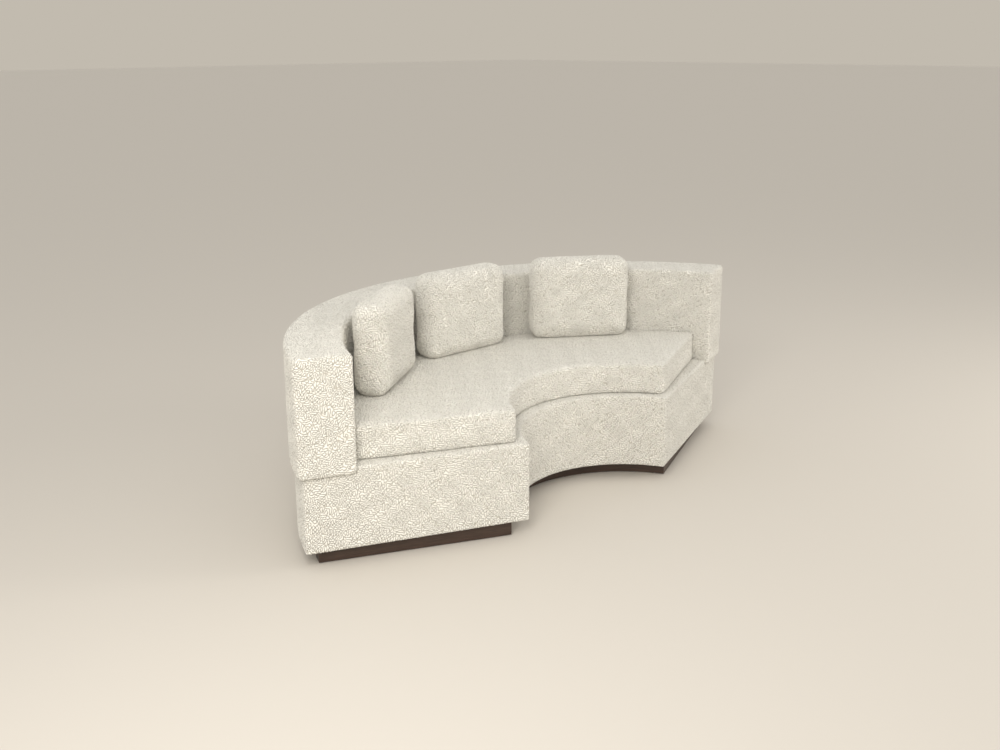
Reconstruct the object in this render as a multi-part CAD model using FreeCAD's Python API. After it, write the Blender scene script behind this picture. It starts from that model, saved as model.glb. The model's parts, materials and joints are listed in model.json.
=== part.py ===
import FreeCAD, Part
import math
import os

from FreeCAD import Vector

os.makedirs("parts", exist_ok=True)

# Curved sofa: an arc of a ring in plan, open towards -Y, with its back towards +Y and +Z up.
# Everything is drawn about the centre of the arc, and save() moves it so that the origin lies
# on the floor under the middle of the sofa. Lengths are in millimetres and angles in degrees.
# An angle is counted from +Y towards +X.

# Driving dimensions: the arc
HALF_SWEEP = 67.5
BASE_INNER_R = 380.0
BASE_OUTER_R = 1120.0
BACK_INNER_R = 953.0
BACK_PROUD = 15.0  # the backrest stands out this far past the base, behind and at both ends
SEAT_INNER_R = 414.0
SEAT_HALF_SWEEP = 64.5
PLINTH_INNER_R = 438.0
PLINTH_OUTER_R = 1075.0
PLINTH_HALF_SWEEP = 65.5

# Driving dimensions: heights
FELT_T = 3.0
PLINTH_TOP_Z = 50.0
BASE_TOP_Z = 316.0
BACK_SEAT_Z = 296.0  # the backrest sits in a rebate at the rear of the base
SEAT_TOP_Z = 430.0
BACK_TOP_Z = 675.0

# Driving dimensions: what the walls are made of, from the outside in
COVER_T = 4.0
BASE_FOAM_T = 10.0
BACK_INNER_FOAM_T = 30.0
BACK_OUTER_FOAM_T = 10.0
BACK_TOP_FOAM_T = 25.0
BACK_END_FOAM_T = 15.0
BASE_SKIN_T = 5.0
BACK_SKIN_T = 4.0
BOARD_T = 18.0
BOTTOM_T = 15.0

# Driving dimensions: rounding of the upholstered edges
BASE_CORNER_R = 15.0
BASE_TOP_ROUND = 12.0
BACK_CORNER_R = 24.0
BACK_TOP_ROUND = 20.0
FOOT_BEVEL = 6.0

# Driving dimensions: loose back cushions, which stand on the seat
BACK_CUSHION_ANGLES = {"left": -34.3, "middle": 0.0, "right": 34.8}
BACK_CUSHION_R = 858.0
BACK_CUSHION_W = 390.0
BACK_CUSHION_H = 317.0
BACK_CUSHION_T = 126.0

UP = Vector(0, 0, 1)
OUTER_R = BASE_OUTER_R + BACK_PROUD
PAST = 1.0  # how far a shape that cuts runs past what it cuts


def front_line():
    """How far in front of the arc's centre line the rounded front corners of the base reach."""
    a = math.radians(HALF_SWEEP)
    reach = BASE_INNER_R + BASE_CORNER_R
    along = math.sqrt(reach**2 - BASE_CORNER_R**2)
    return along * math.cos(a) + BASE_CORNER_R * math.sin(a) - BASE_CORNER_R


CENTRE_Y = -(OUTER_R + front_line()) / 2


def save(name, *solids):
    """Writes one node, moved from the arc's centre to the sofa's own origin."""
    shape = solids[0] if len(solids) == 1 else Part.makeCompound(list(solids))
    moved = shape.translated(Vector(0, CENTRE_Y, 0))
    moved.exportStep("parts/" + name + ".step")


def polar(radius, angle, z=0.0):
    a = math.radians(angle)
    return Vector(radius * math.sin(a), radius * math.cos(a), z)


def at_angle(shape, angle):
    """Turns a shape that was drawn on the +Y line to its angle on the arc."""
    return shape.rotated(Vector(), UP, -angle)


def end_point(side, along, inwards, z, half):
    """A point measured from the radial plane that ends the arc: side is -1 or +1."""
    a = math.radians(half)
    x = along * math.sin(a) - inwards * math.cos(a)
    return Vector(side * x, along * math.cos(a) + inwards * math.sin(a), z)


def corner_points(arc_r, inset, corner, outside):
    """Where a rounded corner leaves the arc, its middle, and where it meets the end line."""
    sign = 1 if outside else -1
    reach = arc_r - sign * corner
    inwards = inset + corner
    along = math.sqrt(reach**2 - inwards**2)
    to_arc = Vector(along, inwards, 0) * (sign / reach)
    middle = (to_arc + Vector(0, -1, 0)).normalize() * corner
    centre = Vector(along, inwards, 0)
    points = [centre + to_arc * corner, centre + middle, Vector(along, inset, 0)]
    return [(p.x, p.y) for p in points]


def plan_wire(inner_r, outer_r, z, inset=0.0, inner_corner=0.0, outer_corner=0.0, half=HALF_SWEEP):
    """A closed arc-shaped outline: two arcs, two straight ends set in by inset, and its corners."""
    outer = corner_points(outer_r, inset, outer_corner, True)
    inner = corner_points(inner_r, inset, inner_corner, False)
    right_out, right_in = ([end_point(1, *p, z, half) for p in pts] for pts in (outer, inner))
    left_out, left_in = ([end_point(-1, *p, z, half) for p in pts] for pts in (outer, inner))
    edges = [Part.Arc(left_out[0], Vector(0, outer_r, z), right_out[0]).toShape()]
    if outer_corner:
        edges.append(Part.Arc(*right_out).toShape())
    edges.append(Part.makeLine(right_out[2], right_in[2]))
    if inner_corner:
        edges.append(Part.Arc(*right_in[::-1]).toShape())
    edges.append(Part.Arc(right_in[0], Vector(0, inner_r, z), left_in[0]).toShape())
    if inner_corner:
        edges.append(Part.Arc(*left_in).toShape())
    edges.append(Part.makeLine(left_in[2], left_out[2]))
    if outer_corner:
        edges.append(Part.Arc(*left_out[::-1]).toShape())
    return Part.Wire(edges)


def sector(inner_r, outer_r, low, high, inset=0.0, inner_corner=0.0, outer_corner=0.0, half=HALF_SWEEP):
    wire = plan_wire(inner_r, outer_r, low, inset, inner_corner, outer_corner, half)
    return Part.Face(wire).extrude(UP * (high - low))


def ring(inner_r, outer_r, low, high):
    tube = Part.makeCylinder(outer_r, high - low, Vector(0, 0, low))
    return tube.cut(Part.makeCylinder(inner_r, high - low, Vector(0, 0, low)))


def cut_panel(inner_r, outer_r, low, high, inset, half=HALF_SWEEP):
    """An arc-shaped panel whose long sides are cut or sewn in straight runs."""
    runs = 8

    def side(radius):
        end = half - math.degrees(math.asin(inset / radius))
        return [polar(radius, end * (2 * i / runs - 1), low) for i in range(runs + 1)]

    outline = side(outer_r) + side(inner_r)[::-1]
    return Part.Face(Part.makePolygon(outline + outline[:1])).extrude(UP * (high - low))


def radial_board(angle, inner_r, outer_r, low, high):
    """An upright board on a radius, whose ends follow the curves that it meets."""
    box = Part.makeBox(BOARD_T, outer_r, high - low, Vector(-BOARD_T / 2, 0, low))
    return at_angle(box.common(ring(inner_r, outer_r, low, high)), angle)


def left_and_right(shape):
    """The two mirrored solids of a shape, the left one first."""
    return sorted(shape.Solids, key=lambda solid: solid.CenterOfMass.x)


def bevelled(shape, size, direction):
    """A block with its edges along one direction cut off at 45 degrees."""
    along = [edge for edge in shape.Edges if edge.tangentAt(0).cross(direction).Length < 0.001]
    return shape.makeChamfer(size, along)


def drilled(shape, *pins):
    for pin in pins:
        shape = shape.cut(pin)
    return shape


def pins_at(places, radius, low, high):
    """Upright pins, or the holes for them, drawn with six flat sides."""
    sides = 6
    corners = [polar(radius, 360 * i / sides, low) for i in range(sides + 1)]
    pin = Part.Face(Part.makePolygon(corners)).extrude(UP * (high - low))
    return [pin.translated(polar(r, angle)) for r, angle in places]


def in_sheets(foam):
    """A long curved foam as three sheets, with a fine joint between each two."""
    joint, joint_angles = 0.5, (-22.5, 22.5)
    for angle in joint_angles:
        saw = Part.makeBox(joint, OUTER_R, BACK_TOP_Z, Vector(-joint / 2, 0, 0))
        foam = foam.cut(at_angle(saw, angle))
    return foam.Solids


# Upholstered forms go through one outline at each level, with a flat band between two of them.
# A form drawn in by the layers that lie outside it is the next layer's outside.
REBATE_GAP = 0.5
STEP_R = BACK_INNER_R - REBATE_GAP


def quarter(radius, bands):
    """Inset and rise along a rounded edge, from its upright side to its flat side."""
    turns = [math.pi / 2 * i / bands for i in range(bands + 1)]
    return [(radius * (1 - math.cos(t)), radius * math.sin(t)) for t in turns]


def upright_levels(low, high, top_round, top_bands, foot_bevel=0.0):
    """Inset and height of each outline of a form with a rounded top, and perhaps a bevelled foot."""
    foot = [(foot_bevel, low), (0.0, low + foot_bevel)] if foot_bevel else [(0.0, low)]
    top = [(inset, high - top_round + rise) for inset, rise in quarter(top_round, top_bands)]
    return foot + top


def through(outline, levels):
    return Part.makeLoft([outline(*level) for level in levels], True, True)


def faceted(rings):
    """A solid through rings of points, with a flat face between each two pairs of neighbours."""
    faces = [Part.Face(Part.makePolygon(ends + ends[:1])) for ends in (rings[0], rings[-1])]
    for near, far in zip(rings, rings[1:]):
        corners = zip(near, near[1:] + near[:1], far[1:] + far[:1], far)
        faces += [Part.Face(Part.makePolygon([a, b, c, d, a])) for a, b, c, d in corners]
    shell = Part.makeShell(faces)
    shell.sewShape()
    return Part.makeSolid(shell)


def base_form(depth, top_bands, foot_bevel=0.0):
    """The base drawn in by depth: a curved block with the rebate for the backrest."""

    def outline(inset, z):
        drawn = depth + inset
        corner = BASE_CORNER_R - drawn
        return plan_wire(BASE_INNER_R + drawn, BASE_OUTER_R - drawn, z, drawn, corner, corner)

    low, high = PLINTH_TOP_Z + depth, BASE_TOP_Z - depth
    levels = upright_levels(low, high, BASE_TOP_ROUND - depth, top_bands, foot_bevel)
    rebate = ring(STEP_R - depth, BASE_OUTER_R + PAST, BACK_SEAT_Z - depth, BASE_TOP_Z + PAST)
    return through(outline, levels).cut(rebate)


def back_form(depth, top_bands):
    """The backrest drawn in by depth: a curved wall with a rounded top."""

    def outline(inset, z):
        drawn = depth + inset
        corner = BACK_CORNER_R - drawn
        ends = drawn - BACK_PROUD
        return plan_wire(BACK_INNER_R + drawn, OUTER_R - drawn, z, ends, corner, corner)

    low, high = BACK_SEAT_Z + depth, BACK_TOP_Z - depth
    levels = upright_levels(low, high, BACK_TOP_ROUND - depth, top_bands)
    return through(outline, levels)


# Where the wood of the base starts, behind its cover and foam
BASE_WRAP = COVER_T + BASE_FOAM_T
WOOD_IN = BASE_INNER_R + BASE_WRAP
WOOD_OUT = BASE_OUTER_R - BASE_WRAP
FRAME_IN = WOOD_IN + BASE_SKIN_T
FRAME_OUT = WOOD_OUT - BASE_SKIN_T
BASE_LOW = PLINTH_TOP_Z + COVER_T
FLOOR_TOP = BASE_LOW + BOTTOM_T
RAIL_TOP = BASE_TOP_Z - BASE_WRAP
REAR_RAIL_TOP = BACK_SEAT_Z - COVER_T
STEP_WOOD_R = STEP_R - COVER_T
RAIL_W = 60.0
RIB_ANGLES = (-40.5, -13.5, 13.5, 40.5)

# Screws hold the plinth to the bottom of the base, and bolts hold the backrest to its rear rail
SCREW_R = 2.5
SCREW_HEAD_R = 5.0
SCREW_HEAD_H = 3.0
SCREW_TIP_Z = 25.0
SCREW_ANGLES = (-54.0, -27.0, 27.0, 54.0)
BOLT_R = 4.0
BOLT_HEAD_R = 7.0
BOLT_HEAD_H = 6.0
BOLT_CIRCLE_R = 1050.0
BOLT_ANGLES = (-54.0, -30.4, -10.1, 10.1, 30.4, 54.0)
TEE_BARREL_R = 5.0
TEE_FLANGE_R = 11.0
TEE_FLANGE_T = 1.5
TEE_BARREL_H = 9.0
FIT_GAP = 0.05
BOLT_HOLE_GAP = 0.5

PLINTH_FRONT_MID_R = PLINTH_INNER_R + BOARD_T / 2
PLINTH_REAR_MID_R = PLINTH_OUTER_R - BOARD_T / 2
SCREW_PLACES = [(r, a) for r in (PLINTH_FRONT_MID_R, PLINTH_REAR_MID_R) for a in SCREW_ANGLES]
BOLT_PLACES = [(BOLT_CIRCLE_R, a) for a in BOLT_ANGLES]
SCREW_HOLES = pins_at(SCREW_PLACES, SCREW_R + FIT_GAP, SCREW_TIP_Z, FLOOR_TOP)


def make_plinth():
    """A recessed plinth of four boards on felt pads, stiffened by cross rails and glue blocks."""
    low, high, half = FELT_T, PLINTH_TOP_Z, PLINTH_HALF_SWEEP
    front_back_r = PLINTH_INNER_R + BOARD_T
    rear_front_r = PLINTH_OUTER_R - BOARD_T
    front = sector(PLINTH_INNER_R, front_back_r, low, high, half=half)
    rear = sector(rear_front_r, PLINTH_OUTER_R, low, high, half=half)
    save("plinth_front_board", drilled(front, *SCREW_HOLES))
    save("plinth_rear_board", drilled(rear, *SCREW_HOLES))

    between = sector(front_back_r, rear_front_r, low, high, half=half)
    inside = sector(front_back_r - PAST, rear_front_r + PAST, low, high, BOARD_T, half=half)
    left, right = left_and_right(between.cut(inside))
    save("plinth_left_board", left)
    save("plinth_right_board", right)

    rail_low, rail_angles = 12.0, (-22.5, 22.5)
    rails = [radial_board(a, front_back_r, rear_front_r, rail_low, high) for a in rail_angles]
    save("plinth_cross_rails", *rails)

    block_size, block_low, block_high = 42.0, 6.0, 48.0
    room = sector(front_back_r, rear_front_r, block_low, block_high, BOARD_T, half=half)
    blocks = []
    for side in (-1, 1):
        for r in (front_back_r, rear_front_r):
            corner = end_point(side, r, BOARD_T, block_low, half)
            turned = Part.makeBox(block_size, block_size, block_high - block_low)
            turned.translate(Vector(-block_size / 2, -block_size / 2, 0))
            turned.rotate(Vector(), UP, 45 - side * half)
            blocks.append(turned.translated(corner).common(room))
    save("plinth_corner_blocks", *blocks)

    pad_w, pad_half = 16.0, 35.0
    front_pads = (PLINTH_FRONT_MID_R, (-56.0, -20.0, 20.0, 56.0))
    rear_pads = (PLINTH_REAR_MID_R, (-60.0, -30.0, 0.0, 30.0, 60.0))
    pads = []
    for mid_r, angles in (front_pads, rear_pads):
        pad_sweep = math.degrees(pad_half / mid_r)
        pad = sector(mid_r - pad_w / 2, mid_r + pad_w / 2, 0, FELT_T, half=pad_sweep)
        pads += [at_angle(pad, a) for a in angles]
    save("floor_pads", *pads)

    shanks = pins_at(SCREW_PLACES, SCREW_R, SCREW_TIP_Z, FLOOR_TOP)
    heads = pins_at(SCREW_PLACES, SCREW_HEAD_R, FLOOR_TOP, FLOOR_TOP + SCREW_HEAD_H)
    save("plinth_screws", *[s.fuse(h).removeSplitter() for s, h in zip(shanks, heads)])


def make_base_frame():
    """The wooden frame of the base: floor, rails, ribs, end panels and bent skins."""
    floor = sector(FRAME_IN, FRAME_OUT, BASE_LOW, FLOOR_TOP, BASE_WRAP)
    save("base_floor_panel", drilled(floor, *SCREW_HOLES))

    rail_low = RAIL_TOP - BOARD_T
    end_inset = BASE_WRAP + BOARD_T
    front_rail = sector(FRAME_IN, FRAME_IN + RAIL_W, rail_low, RAIL_TOP, end_inset)
    deck_rail = sector(STEP_WOOD_R - RAIL_W, STEP_WOOD_R, rail_low, RAIL_TOP, end_inset)
    rear_rail = sector(STEP_WOOD_R, FRAME_OUT, REAR_RAIL_TOP - BOARD_T, REAR_RAIL_TOP, end_inset)
    bolt_holes = pins_at(BOLT_PLACES, BOLT_R + BOLT_HOLE_GAP, REAR_RAIL_TOP - BOARD_T, REAR_RAIL_TOP)
    save("base_front_rail", front_rail)
    save("base_deck_rail", deck_rail)
    save("base_rear_rail", drilled(rear_rail, *bolt_holes))

    above_rebate = ring(STEP_WOOD_R, FRAME_OUT + PAST, REAR_RAIL_TOP, RAIL_TOP)
    ribs = []
    for angle in RIB_ANGLES:
        rib = radial_board(angle, FRAME_IN, FRAME_OUT, FLOOR_TOP, RAIL_TOP)
        rib = drilled(rib, above_rebate, front_rail, deck_rail, rear_rail)
        ribs.append(rib.cut(at_angle(rib_windows(), angle)))
    save("base_ribs", *ribs)

    full = sector(FRAME_IN, FRAME_OUT, FLOOR_TOP, RAIL_TOP, BASE_WRAP)
    inside = sector(FRAME_IN - PAST, FRAME_OUT + PAST, FLOOR_TOP, RAIL_TOP, end_inset)
    left, right = left_and_right(full.cut(inside).cut(above_rebate))
    save("base_left_end_panel", left)
    save("base_right_end_panel", right)

    save("base_front_skin", sector(WOOD_IN, FRAME_IN, BASE_LOW, RAIL_TOP, BASE_WRAP))
    save("base_rear_skin", sector(FRAME_OUT, WOOD_OUT, BASE_LOW, REAR_RAIL_TOP, BASE_WRAP))


def rib_windows():
    """Two windows with cut corners that lighten a rib, drawn on the +Y line."""
    length, height, corner, mid_z = 170.0, 100.0, 30.0, 170.0
    windows = []
    for mid_r in (590.0, 840.0):
        low_corner = Vector(-BOARD_T, mid_r - length / 2, mid_z - height / 2)
        window = Part.makeBox(BOARD_T * 2, length, height, low_corner)
        windows.append(bevelled(window, corner, Vector(1, 0, 0)))
    return Part.makeCompound(windows)


# Woven deck: straps run from rail to rail on radii, and straight from rib to rib across them
STRAP_W = 50.0
STRAP_T = 1.5
STRAP_GAP = 0.1
STRAP_SLOPE = 26.0
STRAP_CLEAR = 2.0  # room beside a crossing strap, and at the ends of a strap
CROSS_STRAP_R = (560.0, 680.0, 800.0)
BAY_SWEEP = 27.0
BAYS = (-2, -1, 0, 1, 2)

# Plain cloth covers the part of the deck that the seat cushion hides
DECK_CLOTH_T = 1.5
DECK_CLOTH_IN_R = 500.0
DECK_CLOTH_OUT_R = 900.0
DECK_CLOTH_INSET = 90.0
DECK_CLOTH_LOW = BASE_TOP_Z - COVER_T


def radial_strap(over_first):
    """A strap on the +Y line that passes over and under the cross straps by turns."""
    lift = STRAP_T + STRAP_GAP
    skew = math.radians(BAY_SWEEP / 4)
    half = STRAP_W / 2 * (1 + math.tan(skew)) + STRAP_CLEAR
    crossings = [r / math.cos(skew) for r in CROSS_STRAP_R]
    line = [(FRAME_IN + STRAP_CLEAR, 0.0), (crossings[0] - half - STRAP_SLOPE, 0.0)]
    for i, r in enumerate(crossings):
        rise = lift if (i % 2 == 0) == over_first else -lift
        line += [(r - half, rise), (r + half, rise)]
    line += [(crossings[-1] + half + STRAP_SLOPE, 0.0), (STEP_WOOD_R - STRAP_CLEAR, 0.0)]
    bottom = [Vector(-STRAP_W / 2, r, RAIL_TOP + z) for r, z in line]
    top = [p + UP * STRAP_T for p in reversed(bottom)]
    outline = Part.makePolygon(bottom + top + [bottom[0]])
    return Part.Face(outline).extrude(Vector(STRAP_W, 0, 0))


def make_deck():
    """Webbing woven between the rails, a felt pad over it, and the cloth under the seat cushion."""
    straps = []
    for bay in BAYS:
        for turn in (-1, 1):
            angle = bay * BAY_SWEEP + turn * BAY_SWEEP / 4
            straps.append(at_angle(radial_strap(turn < 0), angle))
    save("deck_webbing_radial", *straps)

    levels = (RAIL_TOP, RAIL_TOP + STRAP_T)
    room = sector(FRAME_IN, STEP_WOOD_R, *levels, BASE_WRAP + STRAP_CLEAR)
    bay_room = sector(FRAME_IN, STEP_WOOD_R, *levels, STRAP_CLEAR / 2, half=BAY_SWEEP / 2)
    cross = []
    for bay in BAYS:
        here = at_angle(bay_room, bay * BAY_SWEEP).common(room)
        for r in CROSS_STRAP_R:
            band = Part.makeBox(r, STRAP_W, STRAP_T, Vector(-r / 2, r - STRAP_W / 2, RAIL_TOP))
            cross.append(at_angle(band, bay * BAY_SWEEP).common(here))
    save("deck_webbing_cross", *cross)

    pad_low = RAIL_TOP + 2 * STRAP_T + 2 * STRAP_GAP
    save("deck_pad", sector(WOOD_IN, STEP_WOOD_R, pad_low, BASE_TOP_Z - COVER_T, BASE_WRAP))
    save("deck_cloth", deck_window(DECK_CLOTH_LOW, DECK_CLOTH_LOW + DECK_CLOTH_T))


def deck_window(low, high):
    return cut_panel(DECK_CLOTH_IN_R, DECK_CLOTH_OUT_R, low, high, DECK_CLOTH_INSET)


def make_base_upholstery():
    """Foam on the walls of the base, its sewn cover, and the dust cloth underneath."""
    foam = base_form(COVER_T, top_bands=1)
    tall = (0, BASE_TOP_Z)
    save("base_front_foam", foam.common(ring(BASE_INNER_R, WOOD_IN, *tall)))
    save("base_rear_foam", *in_sheets(foam.common(ring(WOOD_OUT, BASE_OUTER_R, *tall))))
    walls = foam.common(ring(WOOD_IN, WOOD_OUT, *tall))
    wood = sector(WOOD_IN - PAST, WOOD_OUT + PAST, *tall, BASE_WRAP)
    left, right = left_and_right(walls.cut(wood))
    save("base_left_foam", left)
    save("base_right_foam", right)

    turn_under = 90.0
    under_in, under_out = BASE_INNER_R + turn_under, BASE_OUTER_R - turn_under
    below = cut_panel(under_in, under_out, PLINTH_TOP_Z - PAST, BASE_LOW + PAST, turn_under)
    cover = base_form(0, top_bands=2, foot_bevel=FOOT_BEVEL).cut(foam).cut(below)
    cover = cover.cut(deck_window(DECK_CLOTH_LOW - PAST, BASE_TOP_Z + PAST))
    bolt_holes = pins_at(BOLT_PLACES, BOLT_R + BOLT_HOLE_GAP, REAR_RAIL_TOP, BACK_SEAT_Z)
    save("base_cover", drilled(cover, *SCREW_HOLES, *bolt_holes))
    cloth_t = 1.0
    save("dust_cloth", cut_panel(under_in, under_out, BASE_LOW - cloth_t, BASE_LOW, turn_under))


# Where the wood of the backrest starts, behind its cover and foam
BACK_WOOD_IN = BACK_INNER_R + COVER_T + BACK_INNER_FOAM_T
BACK_WOOD_OUT = OUTER_R - COVER_T - BACK_OUTER_FOAM_T
BACK_FRAME_IN = BACK_WOOD_IN + BACK_SKIN_T
BACK_FRAME_OUT = BACK_WOOD_OUT - BACK_SKIN_T
BACK_WOOD_INSET = COVER_T + BACK_END_FOAM_T - BACK_PROUD
BACK_LOW = BACK_SEAT_Z + COVER_T
BACK_WOOD_TOP = BACK_TOP_Z - COVER_T - BACK_TOP_FOAM_T
UPRIGHT_ANGLES = (-40.5, -20.25, 0.0, 20.25, 40.5)


def make_back_frame():
    """The wooden frame of the backrest, and the bolts that hold it to the base."""
    inset = BACK_WOOD_INSET
    bottom_top, top_low = BACK_LOW + BOARD_T, BACK_WOOD_TOP - BOARD_T
    bottom = sector(BACK_FRAME_IN, BACK_FRAME_OUT, BACK_LOW, bottom_top, inset)
    tee_holes = pins_at(BOLT_PLACES, TEE_BARREL_R + FIT_GAP, BACK_LOW, bottom_top)
    save("back_bottom_rail", drilled(bottom, *tee_holes))
    save("back_top_rail", sector(BACK_FRAME_IN, BACK_FRAME_OUT, top_low, BACK_WOOD_TOP, inset))

    uprights = [
        radial_board(a, BACK_FRAME_IN, BACK_FRAME_OUT, bottom_top, top_low) for a in UPRIGHT_ANGLES
    ]
    full = sector(BACK_FRAME_IN, BACK_FRAME_OUT, bottom_top, top_low, inset)
    between = (BACK_FRAME_IN - PAST, BACK_FRAME_OUT + PAST)
    uprights += full.cut(sector(*between, bottom_top, top_low, inset + BOARD_T)).Solids
    save("back_uprights", *uprights)
    save("back_inner_skin", sector(BACK_WOOD_IN, BACK_FRAME_IN, BACK_LOW, BACK_WOOD_TOP, inset))
    save("back_outer_skin", sector(BACK_FRAME_OUT, BACK_WOOD_OUT, BACK_LOW, BACK_WOOD_TOP, inset))

    rail_under = REAR_RAIL_TOP - BOARD_T
    shanks = pins_at(BOLT_PLACES, BOLT_R, rail_under, bottom_top + TEE_FLANGE_T)
    heads = pins_at(BOLT_PLACES, BOLT_HEAD_R, rail_under - BOLT_HEAD_H, rail_under)
    save("back_bolts", *[s.fuse(h).removeSplitter() for s, h in zip(shanks, heads)])
    barrels = pins_at(BOLT_PLACES, TEE_BARREL_R, bottom_top - TEE_BARREL_H, bottom_top)
    flanges = pins_at(BOLT_PLACES, TEE_FLANGE_R, bottom_top, bottom_top + TEE_FLANGE_T)
    bores = pins_at(BOLT_PLACES, BOLT_R + FIT_GAP, BACK_LOW, bottom_top + 2 * TEE_FLANGE_T)
    nuts = [b.fuse(f).cut(bore) for b, f, bore in zip(barrels, flanges, bores)]
    save("back_tee_nuts", *nuts)


def make_back_upholstery():
    """Foam over the backrest's frame, in separate sheets, and its sewn cover."""
    foam = back_form(COVER_T, top_bands=1)
    tall = (BACK_SEAT_Z, BACK_WOOD_TOP)
    above = ring(BACK_INNER_R - PAST, OUTER_R + PAST, BACK_WOOD_TOP, BACK_TOP_Z)
    save("back_top_foam", foam.common(above))
    save("back_inner_foam", *in_sheets(foam.common(ring(BACK_INNER_R, BACK_WOOD_IN, *tall))))
    save("back_outer_foam", *in_sheets(foam.common(ring(BACK_WOOD_OUT, OUTER_R, *tall))))
    between = foam.common(ring(BACK_WOOD_IN, BACK_WOOD_OUT, *tall))
    wood = sector(BACK_WOOD_IN - PAST, BACK_WOOD_OUT + PAST, *tall, BACK_WOOD_INSET)
    left, right = left_and_right(between.cut(wood))
    save("back_left_foam", left)
    save("back_right_foam", right)

    turn_under = 20.0
    under_in, under_out = BACK_WOOD_IN + turn_under, BACK_WOOD_OUT - turn_under
    levels = (BACK_SEAT_Z - PAST, BACK_LOW + PAST)
    below = cut_panel(under_in, under_out, *levels, BACK_WOOD_INSET + turn_under)
    save("back_cover", back_form(0, top_bands=3).cut(foam).cut(below))


# Seat cushion: a foam core in a cover quilted to wadding, which gives it its crown
SEAT_OUTER_R = BACK_INNER_R - 1.5
SEAT_EDGE_R = 16.0
SEAT_DRAW_IN = 2.0
SEAT_CROWN = 3.0
SEAT_CROWN_INSET = 70.0
SEAT_CORNER_R = 26.0
SEAT_LEAST_CORNER = 8.0
WADDING_T = 10.0
SEAT_MID_Z = (BASE_TOP_Z + SEAT_TOP_Z) / 2


def seat_levels():
    """Inset and height of each outline: a drawn-in waist, rounded edges and a crown."""
    shoulder = SEAT_TOP_Z - SEAT_CROWN
    levels = upright_levels(BASE_TOP_Z, shoulder, SEAT_EDGE_R, top_bands=3)
    levels.insert(1, (SEAT_DRAW_IN, SEAT_MID_Z))
    return levels + [(SEAT_CROWN_INSET, SEAT_TOP_Z)]


def seat_outline(inset, z):
    inner_r, outer_r = SEAT_INNER_R + inset, SEAT_OUTER_R - inset
    corner = max(SEAT_CORNER_R - inset, SEAT_LEAST_CORNER)
    return plan_wire(inner_r, outer_r, z, inset, corner, corner, SEAT_HALF_SWEEP)


# Zips: a woven tape with a coil, laid in a groove, and a slider that runs along the coil
GROOVE_W = 34.0
GROOVE_D = 6.0
TAPE_W = 30.0
TAPE_T = 1.2
COIL_W = 6.0
COIL_T = 2.5
SLIDER_L = 11.0
SLIDER_WALL = 1.2
SLIDER_PLATE_T = 1.5
SLIDER_GAP = 0.3
SLIDER_BEVEL = 1.0
SEAT_ZIP_HALF_SWEEP = 40.0
SEAT_ZIP_END_SWEEP = 1.0  # room in the groove past each end, and how far the slider stops short
BACK_ZIP_HALF_L = 140.0


def zip_slider():
    """A slider astride a coil along X, with the tape's underside at z 0 and the open side up."""
    inside = COIL_W / 2 + SLIDER_GAP
    outside = inside + SLIDER_WALL
    low = TAPE_T + SLIDER_GAP
    roof = low + COIL_T
    height = roof + SLIDER_PLATE_T - low
    body = Part.makeBox(SLIDER_L, 2 * outside, height, Vector(-SLIDER_L / 2, -outside, low))
    throat = Part.makeBox(SLIDER_L, 2 * inside, COIL_T, Vector(-SLIDER_L / 2, -inside, low))
    return bevelled(body, SLIDER_BEVEL, UP).cut(throat)


def make_seat_cushion():
    """One curved cushion that lifts off the deck, with its zip in the hidden rear wall."""
    outside = through(seat_outline, seat_levels())
    core_in, core_out = SEAT_INNER_R + WADDING_T, SEAT_OUTER_R - WADDING_T
    core_low, core_high = BASE_TOP_Z + WADDING_T, SEAT_TOP_Z - WADDING_T
    core = cut_panel(core_in, core_out, core_low, core_high, WADDING_T, SEAT_HALF_SWEEP)
    save("seat_cushion_core", core)

    def strip(inner_r, outer_r, width, half):
        return sector(inner_r, outer_r, SEAT_MID_Z - width / 2, SEAT_MID_Z + width / 2, half=half)

    floor_r = SEAT_OUTER_R - SEAT_DRAW_IN - GROOVE_D
    tape_r = floor_r + TAPE_T
    half = SEAT_ZIP_HALF_SWEEP
    groove = strip(floor_r, SEAT_OUTER_R + PAST, GROOVE_W, half + SEAT_ZIP_END_SWEEP)
    save("seat_cushion_cover", outside.cut(core).cut(groove))
    tape = strip(floor_r, tape_r, TAPE_W, half)
    coil = strip(tape_r, tape_r + COIL_T, COIL_W, half)
    save("seat_cushion_zip", tape.fuse(coil).removeSplitter())
    slider = zip_slider().rotated(Vector(), Vector(1, 0, 0), -90)
    slider = slider.translated(Vector(0, floor_r, SEAT_MID_Z))
    save("seat_cushion_zip_slider", at_angle(slider, SEAT_ZIP_END_SWEEP - half))


# Loose back cushions
CUSHION_ROUND = 50.0
CUSHION_BANDS = 3
CUSHION_CORNER_R = 58.0
CUSHION_DRAW_IN = 3.0
CUSHION_CROWN = 4.0
CUSHION_CROWN_INSETS = (54.0, 100.0)
CUSHION_SINK = 4.0  # the lowest of the bottom edge's rounding, pressed flat where it stands
CUSHION_INNER_INSET = 35.0
CUSHION_INNER_BEVEL = 20.0
CUSHION_WADDING_T = 14.0
CUSHION_EDGE_Y = BACK_CUSHION_T / 2 - CUSHION_CROWN
ZIP_ROOM = 2.0


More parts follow.
